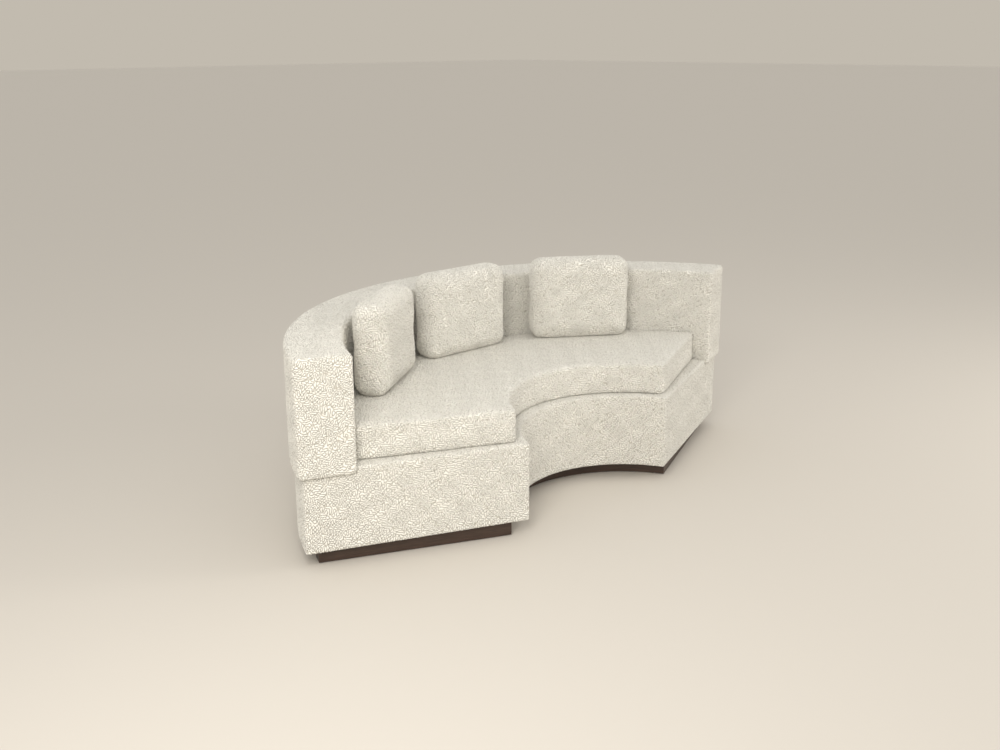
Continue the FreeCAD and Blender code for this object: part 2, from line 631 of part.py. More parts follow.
def cushion_outline(inset, y):
    """The outline of a back cushion at one depth: round corners, and three sides drawn in."""
    half_w = BACK_CUSHION_W / 2 - inset
    foot, top = inset - CUSHION_SINK, BACK_CUSHION_H - inset
    corner = CUSHION_CORNER_R - inset
    steps = quarter(corner, CUSHION_BANDS)
    low = [(half_w - step, foot + corner - rise) for step, rise in reversed(steps)]
    high = [(half_w - step, top - corner + rise) for step, rise in steps]
    right = low + [(half_w - CUSHION_DRAW_IN, (foot + top) / 2)] + high
    left = [(-x, z) for x, z in reversed(right)]
    outline = right + [(0, top - CUSHION_DRAW_IN)] + left
    return [Vector(x, y, SEAT_TOP_Z + z) for x, z in outline]


def cushion_crown():
    """The shallow swell of a cushion's front face, as a wedge that narrows towards +Y."""
    wide, narrow = [BACK_CUSHION_W / 2 - inset for inset in CUSHION_CROWN_INSETS]
    low = [SEAT_TOP_Z + inset - CUSHION_SINK for inset in CUSHION_CROWN_INSETS]
    high = [SEAT_TOP_Z + BACK_CUSHION_H - inset for inset in CUSHION_CROWN_INSETS]
    rear = (-wide, CUSHION_EDGE_Y, low[0], low[1], -narrow)
    front = (wide, BACK_CUSHION_T / 2, high[0], high[1], narrow)
    return Part.makeWedge(*rear, *front)


def cushion_form():
    """A pillow with rounded edges, a crown on both faces, and a foot pressed flat."""
    quarter_y = CUSHION_EDGE_Y - CUSHION_ROUND
    front = [(inset, quarter_y + rise) for inset, rise in quarter(CUSHION_ROUND, CUSHION_BANDS)]
    depths = [(inset, -y) for inset, y in reversed(front)] + front
    form = faceted([cushion_outline(*depth) for depth in depths])
    crown = cushion_crown()
    form = form.fuse(crown).fuse(crown.mirror(Vector(), Vector(0, 1, 0)))
    pressed = block(BACK_CUSHION_W, BACK_CUSHION_T, SEAT_TOP_Z - CUSHION_SINK - PAST, SEAT_TOP_Z)
    return form.cut(pressed)


def block(width, depth, low, high):
    return Part.makeBox(width, depth, high - low, Vector(-width / 2, -depth / 2, low))


def make_back_cushion(side, angle):
    """One loose cushion: a filled inner in a cover, with its zip in the flat foot."""
    name = "back_cushion_" + side
    inner_w = BACK_CUSHION_W - 2 * CUSHION_INNER_INSET
    inner_t = BACK_CUSHION_T - 2 * CUSHION_WADDING_T
    inner_low = SEAT_TOP_Z + CUSHION_WADDING_T
    inner_high = SEAT_TOP_Z + BACK_CUSHION_H - CUSHION_WADDING_T - CUSHION_CROWN
    inner = block(inner_w, inner_t, inner_low, inner_high)
    inner = bevelled(inner, CUSHION_INNER_BEVEL, Vector(0, 1, 0))

    length = 2 * BACK_ZIP_HALF_L
    groove_top = SEAT_TOP_Z + GROOVE_D
    tape_low = groove_top - TAPE_T
    groove = block(length + 2 * ZIP_ROOM, GROOVE_W, SEAT_TOP_Z - PAST, groove_top)
    tape = block(length, TAPE_W, tape_low, groove_top)
    coil = block(length, COIL_W, tape_low - COIL_T, tape_low)
    slider = zip_slider().rotated(Vector(), Vector(1, 0, 0), 180)
    slider = slider.translated(Vector(BACK_ZIP_HALF_L - SLIDER_L, 0, groove_top))

    def placed(shape):
        return at_angle(shape.translated(Vector(0, BACK_CUSHION_R, 0)), angle)

    save(name + "_inner", placed(inner))
    save(name + "_cover", placed(cushion_form().cut(inner).cut(groove)))
    save(name + "_zip", placed(tape.fuse(coil).removeSplitter()))
    save(name + "_zip_slider", placed(slider))


make_plinth()
make_base_frame()
make_deck()
make_base_upholstery()
make_back_frame()
make_back_upholstery()
make_seat_cushion()
for cushion_side, cushion_angle in BACK_CUSHION_ANGLES.items():
    make_back_cushion(cushion_side, cushion_angle)
print("arc centre y", round(CENTRE_Y, 3))
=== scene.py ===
import json
import math

import bmesh
import bpy
import numpy as np
from mathutils import Euler, Matrix, Vector


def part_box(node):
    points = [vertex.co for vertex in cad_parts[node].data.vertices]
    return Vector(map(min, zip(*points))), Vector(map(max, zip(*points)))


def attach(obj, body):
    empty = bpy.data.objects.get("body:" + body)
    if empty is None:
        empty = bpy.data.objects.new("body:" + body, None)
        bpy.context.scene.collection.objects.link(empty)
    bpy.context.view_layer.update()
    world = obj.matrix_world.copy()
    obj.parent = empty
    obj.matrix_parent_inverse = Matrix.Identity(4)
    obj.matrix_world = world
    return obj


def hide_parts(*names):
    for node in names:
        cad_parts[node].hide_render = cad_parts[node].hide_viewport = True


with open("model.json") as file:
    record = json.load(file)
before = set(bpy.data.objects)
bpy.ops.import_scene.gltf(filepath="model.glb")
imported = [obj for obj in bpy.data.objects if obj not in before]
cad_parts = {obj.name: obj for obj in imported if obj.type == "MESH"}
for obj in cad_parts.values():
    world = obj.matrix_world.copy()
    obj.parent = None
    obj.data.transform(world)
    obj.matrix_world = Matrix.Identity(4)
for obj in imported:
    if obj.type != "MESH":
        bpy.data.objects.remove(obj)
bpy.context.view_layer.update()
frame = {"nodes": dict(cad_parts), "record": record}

# A curved sofa in cream boucle on a dark plinth. Lengths are in metres and angles in radians.
# The sofa is an arc of a ring, open towards -Y. An angle on it is counted from +Y towards +X.

MM = 0.001

# Driving sizes of the arc
HALF_SWEEP = math.radians(67.5)
BASE_INNER_R = 380 * MM
BASE_OUTER_R = 1120 * MM
BACK_INNER_R = 953 * MM
BACK_PROUD = 15 * MM
BACK_OUTER_R = BASE_OUTER_R + BACK_PROUD
SEAT_INNER_R = 414 * MM
SEAT_OUTER_R = 951.5 * MM
SEAT_HALF_SWEEP = math.radians(64.5)

# Each arc is swept in short steps, and one whose ends stand proud is swept past them by the spare
BASE_STEPS = 135
BACK_STEPS = 140
SEAT_STEPS = 90
END_SPARE = math.radians(3)

# Driving sizes of the rounding, and of the seat cushion's swell
BASE_EDGE_R = 10 * MM
BACK_EDGE_R = 14 * MM
SEAT_CROWN = 3 * MM
SEAT_EDGE_R = 12 * MM
SEAT_FOOT_R = 6 * MM
SEAT_CORNER_R = 14 * MM

# Driving sizes of the loose back cushions, whose rounded feet are cut flat at the sink
BACK_CUSHION_ANGLES = {"left": math.radians(-34.3), "middle": 0.0, "right": math.radians(34.8)}
CUSHION_R = 858 * MM
CUSHION_W = 390 * MM
CUSHION_T = 126 * MM
CUSHION_CROWN = 4 * MM
CUSHION_SINK = 4 * MM
CUSHION_CORNER_R = 46 * MM
CUSHION_ROUND = 42 * MM

# The arc's centre, and the levels of the upholstery, as the frame has them
CENTRE = Vector((0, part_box("back_cover")[1].y - BACK_OUTER_R, 0))
BASE_LOW, BASE_TOP = (corner.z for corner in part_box("base_cover"))
BACK_LOW, BACK_TOP = (corner.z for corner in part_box("back_cover"))
SEAT_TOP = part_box("seat_cushion_cover")[1].z
SEAT_MID = (BASE_TOP + SEAT_TOP) / 2

# The rebate in the base starts a little short of the backrest
STEP_R = BACK_INNER_R - 0.5 * MM

# Cloths that the covers are sewn to: on the deck under the seat cushion, and under the base
DECK_IN_R, DECK_OUT_R = 500 * MM, 900 * MM
DUST_IN_R, DUST_OUT_R = 470 * MM, 1030 * MM
CLOTH_INSET = 90 * MM
CLOTH_SEAM = 1 * MM
DECK_CLOTH_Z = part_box("deck_cloth")[0].z
DECK_CLOTH_T = 1 * MM
DECK_CLOTH_GAP = 1.5 * MM
DUST_CLOTH_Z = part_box("dust_cloth")[0].z
DUST_CLOTH_T = 0.8 * MM
DUST_CLOTH_GAP = 2.5 * MM

# Zips: a tape with a coil of nylon teeth, laid in a groove
GROOVE_W = 34 * MM
GROOVE_D = 8 * MM
TAPE_W = 30 * MM
TAPE_T = 1.2 * MM
COIL_W = 6 * MM
COIL_T = 2.5 * MM
TOOTH_PITCH = 1.6 * MM
TOOTH_T = 0.9 * TOOTH_PITCH
SEAT_ZIP_HALF = math.radians(40)
SEAT_ZIP_SUNK = 2 * MM
SEAT_ZIP_R = SEAT_OUTER_R - SEAT_ZIP_SUNK - GROOVE_D
SEAT_SLIDER_IN = math.radians(1)
BACK_ZIP_HALF_L = 140 * MM
ZIP_ROOM = 2 * MM

# Their sliders: a block astride the teeth with a narrower nose, and a flat pull
SLIDER_L = 11 * MM
SLIDER_W = 9 * MM
SLIDER_FOOT = 1.5 * MM
SLIDER_ROOF = TAPE_T + COIL_T + 1.8 * MM
SLIDER_NOSE = 0.75
SLIDER_EDGE_R = 1 * MM
PULL_L = 7 * MM
PULL_W = 4.5 * MM
PULL_T = 0.8 * MM
PULL_OUT = 8.5 * MM
PULL_LIFT = TAPE_T + COIL_T + 0.6 * MM
PULL_EDGE_R = 0.3 * MM

# Boucle: worms of looped yarn, about 5 mm across, which is half a wave. Crossed waves are added
# up, and the worms are what lies between the lines where the sum is nought. A slow drift keeps
# them from repeating. The grain is the size of the mesh's squares that carry them.
GRAIN = 3.6 * MM
LOOP_WAVE = 10 * MM
LOOP_RELIEF = 2 * MM
LOOP_SUNK = 0.2
LOOP_TURNS = [(0.4 + 1.3 * i, 0.9 * i, 0.2 + 2.1 * i) for i in range(5)]
LOOP_SPREAD = math.sqrt(1.5 * len(LOOP_TURNS))
CREASE = 1.0
DRIFT = 3 * MM
DRIFT_WAVE = 90 * MM
DRIFT_TURN = (0.5, 0.3, 0.8)


def turned(points, angles, wave):
    """Points turned, and scaled so that one wave is a full circle, as a Mapping node does it."""
    return points @ np.array(Euler(angles).to_matrix()).T * (math.tau / wave)


def loop_height(points):
    """Height of the loops at each point: 0 in the creases, and nearly 1 on the worms."""
    drifted = points + DRIFT * np.sin(turned(points, DRIFT_TURN, DRIFT_WAVE))
    total = np.zeros(len(points))
    for count, angles in enumerate(LOOP_TURNS):
        total += np.sin(turned(drifted, angles, LOOP_WAVE) + count).sum(axis=1)
    swing = np.abs(total) / LOOP_SPREAD
    return swing / (swing + CREASE)


# Shapes
def read(mesh, field):
    """A mesh's points or normals, a row for each."""
    values = np.empty(3 * len(mesh.vertices))
    mesh.vertices.foreach_get(field, values)
    return values.reshape(-1, 3)


def write(mesh, points):
    """Moves a mesh's points."""
    mesh.vertices.foreach_set("co", points.ravel())
    mesh.update()


def raise_loops(piece, shown):
    """Moves a dense mesh in and out along its normals, where it is shown."""
    points = read(piece.data, "co")
    lift = LOOP_RELIEF * (loop_height(points) - LOOP_SUNK) * shown(points)
    write(piece.data, points + read(piece.data, "normal") * lift[:, None])


def plan(points, half):
    """Radius of each point, and how far inwards it is from the nearer end of an arc."""
    across = points - np.array(CENTRE)
    radius = np.hypot(across[:, 0], across[:, 1])
    angle = np.abs(np.arctan2(across[:, 0], across[:, 1]))
    return radius, radius * np.sin(half - angle)


def new_piece(name, mesh):
    piece = bpy.data.objects.new(name, mesh)
    bpy.context.scene.collection.objects.link(piece)
    return piece


def finish_mesh(name, bm, smooth=True):
    mesh = bpy.data.meshes.new(name)
    bm.to_mesh(mesh)
    bm.free()
    for face in mesh.polygons:
        face.use_smooth = smooth
    return mesh


def arc_block(profile, half, inset, steps):
    """A bmesh swept from a closed profile of (radius, height), with ends parallel to the radii.

    Ends that stand proud, with an inset below 0, are swept further and then cut back.
    """
    bm = bmesh.new()
    sweep = half + END_SPARE if inset < 0 else half
    start = Matrix.Rotation(sweep, 4, "Z")
    points = [bm.verts.new(CENTRE + start @ Vector((0, r, z))) for r, z in profile]
    section = bm.faces.new(points)
    bmesh.ops.spin(
        bm, geom=[section], cent=CENTRE, axis=(0, 0, -1), angle=2 * sweep, steps=steps, dvec=(0, 0, 0)
    )
    bmesh.ops.remove_doubles(bm, verts=bm.verts, dist=0.01 * MM)
    for side in (-1, 1):
        across = Vector((math.cos(half), -side * math.sin(half), 0)) * side
        bmesh.ops.bisect_plane(
            bm,
            geom=bm.verts[:] + bm.edges[:] + bm.faces[:],
            plane_co=CENTRE - across * inset,
            plane_no=across,
            clear_outer=True,
        )
        edges = [e for e in bm.edges if e.is_boundary]
        if edges:
            bmesh.ops.holes_fill(bm, edges=edges, sides=0)
    bmesh.ops.recalc_face_normals(bm, faces=bm.faces)
    return bm


def sharp_edges(bm, wanted):
    """Edges where two faces meet sharply, of those that are wanted."""
    least = math.radians(30)
    return [e for e in bm.edges if e.is_manifold and e.calc_face_angle(0) > least and wanted(e)]


def upright(edge):
    lower, upper = (v.co for v in edge.verts)
    return (upper - lower).to_2d().length < 0.1 * MM


def soften(bm, radius, wanted, segments=4):
    bmesh.ops.bevel(
        bm,
        geom=sharp_edges(bm, wanted),
        offset=radius,
        offset_type="OFFSET",
        affect="EDGES",
        segments=segments,
        profile=0.5,
        material=-1,
        clamp_overlap=True,
    )


def remesh(piece, grain):
    """Turns a piece's surface into a close grid of squares."""
    bpy.context.view_layer.objects.active = piece
    modifier = piece.modifiers.new("grid", "REMESH")
    modifier.mode = "VOXEL"
    modifier.voxel_size = grain
    modifier.use_smooth_shade = True
    apply_modifiers(piece)


def apply_modifiers(piece):
    """Replaces a piece's mesh by what its modifiers make of it."""
    seen = piece.evaluated_get(bpy.context.evaluated_depsgraph_get())
    made = bpy.data.meshes.new_from_object(seen)
    piece.modifiers.clear()
    old = piece.data
    piece.data = made
    made.name = piece.name
    bpy.data.meshes.remove(old)


def relax(piece, times):
    """Smooths a mesh, so that the stuffing's swell shows no dents."""
    bm = bmesh.new()
    bm.from_mesh(piece.data)
    for _ in range(times):
        bmesh.ops.smooth_vert(
            bm, verts=bm.verts, factor=0.5, use_axis_x=True, use_axis_y=True, use_axis_z=True
        )
    bm.to_mesh(piece.data)
    bm.free()
    piece.data.update()


def swell(piece, cap, foot):
    """Simulated stuffing: the cover swells under pressure, and its foot is held flat.

    No point moves further than the cap.
    """
    points = read(piece.data, "co")
    group = piece.vertex_groups.new(name="held")
    group.add(np.flatnonzero(points[:, 2] < foot + MM).tolist(), 1.0, "REPLACE")
    cloth = piece.modifiers.new("stuffing", "CLOTH")
    cloth.settings.quality = 5
    cloth.settings.mass = 0.4
    cloth.settings.use_pressure = True
    cloth.settings.uniform_pressure_force = 4.0
    cloth.settings.tension_stiffness = 18
    cloth.settings.compression_stiffness = 18
    cloth.settings.shear_stiffness = 12
    cloth.settings.bending_stiffness = 2.0
    cloth.settings.vertex_group_mass = "held"
    cloth.settings.effector_weights.gravity = 0
    cloth.collision_settings.use_collision = False
    for step in range(1, 21):
        bpy.context.scene.frame_set(step)
    apply_modifiers(piece)
    bpy.context.scene.frame_set(1)
    moved = read(piece.data, "co") - points
    reach = np.linalg.norm(moved, axis=1, keepdims=True)
    write(piece.data, points + moved * np.minimum(1.0, cap / np.maximum(reach, 0.001 * MM)))
    relax(piece, 4)
    points = read(piece.data, "co")
    points[:, 2] = np.maximum(points[:, 2], foot)
    write(piece.data, points)


def subdivide(piece):
    modifier = piece.modifiers.new("finer", "SUBSURF")
    modifier.levels = modifier.render_levels = 1
    apply_modifiers(piece)


# Materials
def linear(code):
    """The linear colour of an sRGB hex code."""
    parts = [int(code[i : i + 2], 16) / 255 for i in (1, 3, 5)]
    return [p / 12.92 if p <= 0.04045 else ((p + 0.055) / 1.055) ** 2.4 for p in parts] + [1.0]


def node(tree, kind, sockets, **fields):
    """Adds a node. A socket takes an output to link to, or a value, and fields are its settings."""
    made = tree.nodes.new("ShaderNode" + kind)
    for name, value in fields.items():
        setattr(made, name, value)
    for name, value in sockets.items():
        if isinstance(value, bpy.types.NodeSocket):
            tree.links.new(value, made.inputs[name])
        else:
            made.inputs[name].default_value = value
    return made


def new_material(name):
    material = bpy.data.materials.new(name)
    material.use_nodes = True
    tree = material.node_tree
    tree.nodes.clear()
    return material, tree


def surface(tree, sockets):
    shader = node(tree, "BsdfPrincipled", sockets)
    node(tree, "OutputMaterial", {"Surface": shader.outputs["BSDF"]})


def ramp(tree, source, *stops):
    """Colours along a value: each stop is a position and a hex code."""
    made = node(tree, "ValToRGB", {"Fac": source})
    for element, (position, code) in zip(made.color_ramp.elements, stops):
        element.position = position
        element.color = linear(code)
    return made.outputs["Color"]


def loops_of_yarn(tree, place):
    """The same height as loop_height gives, worked out by the shader at each point."""
    def waves(vector, angles, wave, count=0.0):
        scale = math.tau / wave
        sockets = {"Vector": vector, "Rotation": angles, "Scale": [scale] * 3, "Location": [count] * 3}
        mapped = node(tree, "Mapping", sockets)
        return node(tree, "VectorMath", {0: mapped.outputs[0]}, operation="SINE").outputs[0]

    slow = waves(place, DRIFT_TURN, DRIFT_WAVE)
    shift = node(tree, "VectorMath", {0: slow, "Scale": DRIFT}, operation="SCALE")
    drifted = node(tree, "VectorMath", {0: place, 1: shift.outputs[0]}, operation="ADD").outputs[0]
    total = 0.0
    for count, angles in enumerate(LOOP_TURNS):
        three = {0: waves(drifted, angles, LOOP_WAVE, count), 1: (1.0, 1.0, 1.0)}
        summed = node(tree, "VectorMath", three, operation="DOT_PRODUCT").outputs["Value"]
        total = node(tree, "Math", {0: summed, 1: total}, operation="ADD").outputs[0]
    swing = node(tree, "Math", {0: total}, operation="ABSOLUTE").outputs[0]
    wide = node(tree, "Math", {0: swing, 1: CREASE * LOOP_SPREAD}, operation="ADD").outputs[0]
    return node(tree, "Math", {0: swing, 1: wide}, operation="DIVIDE").outputs[0]


def boucle_cloth():
    """Wool-blend boucle, woven with looped yarn: matt, with a soft fuzz, and its colour darkened in the
    creases as painted shade.
    """
    material, tree = new_material("wool_boucle_cream")
    place = node(tree, "TexCoord", {}).outputs["Object"]
    loops = loops_of_yarn(tree, place)
    # Single hairs are 0.02 mm, and are drawn 2 mm thick so that they show from a step away
    hair = 2 * MM
    yarn = node(tree, "TexNoise", {"Vector": place, "Scale": 1 / hair, "Detail": 2.0})
    fine = {0: yarn.outputs["Fac"], 1: 0.08, 2: loops}
    height = node(tree, "Math", fine, operation="MULTIPLY_ADD").outputs[0]
    bump = node(tree, "Bump", {"Height": height, "Strength": 1.0, "Distance": 7 * MM})
    # Painted shade: the base colour darkens from the worms down into the creases between them.
    surface(tree, {
        "Base Color": ramp(tree, loops, (0.0, "#b8b2a5"), (0.3, "#f2efe6")),
        "Normal": bump.outputs["Normal"], "Roughness": 0.95, "Specular IOR Level": 0.2,
        "Sheen Weight": 0.15, "Sheen Roughness": 0.5,
    })
    return material


def stained_wood():
    """Beech boards stained dark walnut and lacquered satin: fine straight grain, dull gloss."""
    material, tree = new_material("stained_beech_satin")
    place = node(tree, "TexCoord", {}).outputs["Object"]
    # The grain runs level: 54 streaks to 100 mm of height, each 30 times as long as it is high
    streaks = 54 / (100 * MM)
    along = node(tree, "Mapping", {"Vector": place, "Scale": (streaks / 30, streaks / 30, streaks)})
    grain = node(tree, "TexNoise", {"Vector": along.outputs[0], "Scale": 1.0, "Detail": 6.0})
    bump = node(tree, "Bump", {"Height": grain.outputs["Fac"], "Strength": 0.2, "Distance": 0.2 * MM})
    surface(tree, {
        "Base Color": ramp(tree, grain.outputs["Fac"], (0.35, "#36281f"), (0.7, "#4c3a30")),
        "Normal": bump.outputs["Normal"], "Roughness": 0.42,
    })
    return material


def plywood(name, light, dark):
    """Sanded plywood, unfinished: its plies show as stripes of 0.9 mm on its edges."""
    material, tree = new_material(name)
    place = node(tree, "TexCoord", {}).outputs["Object"]
    stripes = {"Vector": place, "Scale": 1 / (2.8 * MM), "Distortion": 1.5}
    plies = node(tree, "TexWave", stripes, bands_direction="Z")
    surface(tree, {
        "Base Color": ramp(tree, plies.outputs["Fac"], (0.3, dark), (0.7, light)), "Roughness": 0.7,
    })
    return material


def woven(name, light, dark, thread):
    """Plain-woven or needled cloth: threads cross at right angles, matt and a little uneven."""
    material, tree = new_material(name)
    place = node(tree, "TexCoord", {}).outputs["Object"]
    # The texture turns its waves by 20 radians to the unit, and one wave is two threads
    scale = math.tau / (20 * 2 * thread)
    crossed = 0.0
    for direction in "XYZ":
        sockets = {"Vector": place, "Scale": scale, "Distortion": 0.6}
        threads = node(tree, "TexWave", sockets, bands_direction=direction).outputs["Fac"]
        crossed = node(tree, "Math", {0: threads, 1: crossed}, operation="MAXIMUM").outputs[0]
    bump = node(tree, "Bump", {"Height": crossed, "Strength": 0.5, "Distance": 0.3 * MM})
    surface(tree, {
        "Base Color": ramp(tree, crossed, (0.2, dark), (0.9, light)),
        "Normal": bump.outputs["Normal"], "Roughness": 0.9, "Specular IOR Level": 0.2,
    })
    return material


def plated_metal(name, code, roughness):
    """Plated steel: even and dull where it was dipped, with faint clouding."""
    material, tree = new_material(name)
    place = node(tree, "TexCoord", {}).outputs["Object"]
    cloud_size = 2.5 * MM
    sockets = {"Vector": place, "Scale": 1 / cloud_size, "Detail": 3.0}
    cloud = node(tree, "TexNoise", sockets).outputs["Fac"]
    shine = {"Value": cloud, "To Min": roughness - 0.06, "To Max": roughness + 0.08}
    surface(tree, {
        "Base Color": linear(code), "Metallic": 1.0,
        "Roughness": node(tree, "MapRange", shine).outputs[0],
    })
    return material


def nylon():
    """Moulded nylon of the zip's teeth: smooth, cream, and a little waxy."""
    material, tree = new_material("nylon_zip_teeth")
    place = node(tree, "TexCoord", {}).outputs["Object"]
    tone = node(tree, "TexNoise", {"Vector": place, "Scale": 60.0}).outputs["Fac"]
    surface(tree, {"Base Color": ramp(tree, tone, (0.3, "#d9cfb8"), (0.7, "#e8dfca")), "Roughness": 0.4})
    return material


BOUCLE = boucle_cloth()
PLINTH_WOOD = stained_wood()
BIRCH_PLY = plywood("birch_plywood_sanded", "#d8bd8f", "#b4956a")
BENT_PLY = plywood("bending_plywood", "#cbb188", "#a98c63")
COTTON = woven("cotton_platform_cloth", "#e4dccb", "#cfc5b1", 0.9 * MM)
SPUNBOND = woven("spunbond_dust_cloth", "#2b2b2b", "#191919", 0.7 * MM)
WEBBING = woven("elastic_webbing", "#4a453f", "#2c2823", 2.5 * MM)
FELT = woven("needled_felt", "#7d7870", "#66625b", 1.2 * MM)
FOAM = woven("cut_polyurethane_foam", "#eadfb6", "#d9cc9d", 1.5 * MM)
ZIP_TAPE = woven("polyester_zip_tape", "#e6ddc8", "#cfc5ae", 0.8 * MM)
ZINC = plated_metal("zinc_plated_steel", "#b9bcc0", 0.38)
NICKEL = plated_metal("nickel_plated_zinc", "#c9c6bf", 0.25)
NYLON = nylon()


# Upholstery
def base_cover():
    """The sewn cover of the base: a curved block with the rebate that holds the backrest."""
    profile = [
        (BASE_INNER_R, BASE_LOW), (BASE_OUTER_R, BASE_LOW), (BASE_OUTER_R, BACK_LOW),
        (STEP_R, BACK_LOW), (STEP_R, BASE_TOP), (BASE_INNER_R, BASE_TOP),
    ]
    bm = arc_block(profile, HALF_SWEEP, 0.0, BASE_STEPS)

    # The inside corner of the rebate stays sharp
    def outer_edge(edge):
        middle = (edge.verts[0].co + edge.verts[1].co) / 2 - CENTRE
        return abs(middle.to_2d().length - STEP_R) > MM or middle.z > BACK_LOW + MM

    soften(bm, BASE_EDGE_R, outer_edge)
    piece = new_piece("base_boucle_cover", finish_mesh("base_boucle_cover", bm))
    remesh(piece, GRAIN)

    def under_seat(points):
        radius, inwards = plan(points, SEAT_HALF_SWEEP)
        margin = 8 * MM
        return (points[:, 2] > BASE_TOP - MM) & (radius > SEAT_INNER_R + margin) & (inwards > margin)

    def out_of_sight(points):
        radius = plan(points, HALF_SWEEP)[0]
        rebate = (points[:, 2] > BACK_LOW - MM) & (radius > STEP_R + MM)
        return rebate | under_seat(points) | (points[:, 2] < BASE_LOW + MM)

    raise_loops(piece, lambda points: ~out_of_sight(points))
    # Where a cloth lies, the cover is drawn in behind it
    points = read(piece.data, "co")
    radius, inwards = plan(points, HALF_SWEEP)
    deck = (radius > DECK_IN_R) & (radius < DECK_OUT_R) & (inwards > CLOTH_INSET)
    points[deck & (points[:, 2] > BASE_TOP - MM), 2] = DECK_CLOTH_Z - DECK_CLOTH_GAP
    below = (radius > DUST_IN_R) & (radius < DUST_OUT_R) & (inwards > CLOTH_INSET)
    points[below & (points[:, 2] < BASE_LOW + MM), 2] = DUST_CLOTH_Z + DUST_CLOTH_GAP
    write(piece.data, points)
    return piece


def back_cover():
    """The sewn cover of the backrest, which stands proud of the base behind and at both ends."""
    profile = [
        (BACK_INNER_R, BACK_LOW), (BACK_OUTER_R, BACK_LOW),
        (BACK_OUTER_R, BACK_TOP), (BACK_INNER_R, BACK_TOP),
    ]
    bm = arc_block(profile, HALF_SWEEP, -BACK_PROUD, BACK_STEPS)
    soften(bm, BACK_EDGE_R, lambda e: True, 5)
    piece = new_piece("back_boucle_cover", finish_mesh("back_boucle_cover", bm))
    remesh(piece, GRAIN)
    raise_loops(piece, lambda points: points[:, 2] > BACK_LOW + MM)
    return piece


def seat_cushion():
    """One curved cushion: foam in a wadded cover, simulated until it swells a little."""
    profile = [
        (SEAT_INNER_R, BASE_TOP), (SEAT_OUTER_R, BASE_TOP),
        (SEAT_OUTER_R, SEAT_TOP - SEAT_CROWN), (SEAT_INNER_R, SEAT_TOP - SEAT_CROWN),
    ]
    bm = arc_block(profile, SEAT_HALF_SWEEP, 0.0, SEAT_STEPS)
    soften(bm, SEAT_CORNER_R, upright, 5)
    soften(bm, SEAT_EDGE_R, lambda e: min(v.co.z for v in e.verts) > SEAT_MID)
    soften(bm, SEAT_FOOT_R, lambda e: max(v.co.z for v in e.verts) < SEAT_MID)
    piece = new_piece("seat_cushion_boucle", finish_mesh("seat_cushion_boucle", bm))
    remesh(piece, 2 * GRAIN)
    swell(piece, SEAT_CROWN, BASE_TOP)
    subdivide(piece)
    remesh(piece, GRAIN)

    def groove(points):
        radius, inwards = plan(points, SEAT_ZIP_HALF)
        room = inwards > -ZIP_ROOM
        return room & (radius > SEAT_ZIP_R - MM) & (np.abs(points[:, 2] - SEAT_MID) < GROOVE_W / 2)

    raise_loops(piece, lambda points: ~groove(points) & (points[:, 2] > BASE_TOP + 2 * MM))
    points = read(piece.data, "co")
    cut = groove(points)
    across = points[cut] - np.array(CENTRE)
    radius = np.hypot(across[:, 0], across[:, 1])[:, None]
    points[cut, :2] = np.array(CENTRE)[:2] + across[:, :2] * SEAT_ZIP_R / radius
    write(piece.data, points)
    return piece


def cushion_place(side):
    """Where a loose cushion's middle stands on the seat, turned to face the arc's centre."""
    turn = Matrix.Rotation(-BACK_CUSHION_ANGLES[side], 4, "Z")
    return Matrix.Translation(CENTRE) @ turn @ Matrix.Translation((0, CUSHION_R, SEAT_TOP))


def back_cushion(side):
    """A loose cushion standing on the seat: rounded, plump, and pressed flat at its foot."""
    low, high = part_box("back_cushion_" + side + "_cover")
    height = high.z - low.z + CUSHION_SINK
    thick = CUSHION_T - 2 * CUSHION_CROWN
    bm = bmesh.new()
    bmesh.ops.create_cube(bm, size=1.0)
    bmesh.ops.scale(bm, vec=(CUSHION_W, thick, height), verts=bm.verts)
    bmesh.ops.translate(bm, vec=(0, 0, height / 2 - CUSHION_SINK), verts=bm.verts)
    soften(bm, CUSHION_CORNER_R, lambda e: abs(e.verts[0].co.y - e.verts[1].co.y) > thick / 2, 8)
    soften(bm, CUSHION_ROUND, lambda e: True, 8)
    bmesh.ops.transform(bm, matrix=cushion_place(side), verts=bm.verts)
    whole = bm.verts[:] + bm.edges[:] + bm.faces[:]
    bmesh.ops.bisect_plane(bm, geom=whole, plane_co=low, plane_no=(0, 0, -1), clear_outer=True)
    bmesh.ops.holes_fill(bm, edges=[e for e in bm.edges if e.is_boundary], sides=0)
    bmesh.ops.recalc_face_normals(bm, faces=bm.faces)
    name = "back_cushion_" + side + "_boucle"
    piece = new_piece(name, finish_mesh(name, bm))
    remesh(piece, 2 * GRAIN)
    swell(piece, CUSHION_CROWN, SEAT_TOP)
    subdivide(piece)
    remesh(piece, 0.8 * GRAIN)

    to_local = np.array(cushion_place(side).inverted())

    def groove(points):
        local = points @ to_local[:3, :3].T + to_local[:3, 3]
        inside = (np.abs(local[:, 0]) < BACK_ZIP_HALF_L + ZIP_ROOM) & (np.abs(local[:, 1]) < GROOVE_W / 2)
        return inside & (local[:, 2] < 2 * MM)

    raise_loops(piece, lambda points: points[:, 2] > SEAT_TOP + 2 * MM)
    points = read(piece.data, "co")
    points[groove(points), 2] = SEAT_TOP + GROOVE_D
    write(piece.data, points)
    return piece


def upholster(piece, body, fill, *nodes):
    """Gives a stuffed piece its cloth, hangs it on the body that carries it, and hides the solids it
    stands for.
    """
    piece.data.materials.clear()
    piece.data.materials.append(BOUCLE)
    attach(piece, body)
    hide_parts(*nodes)


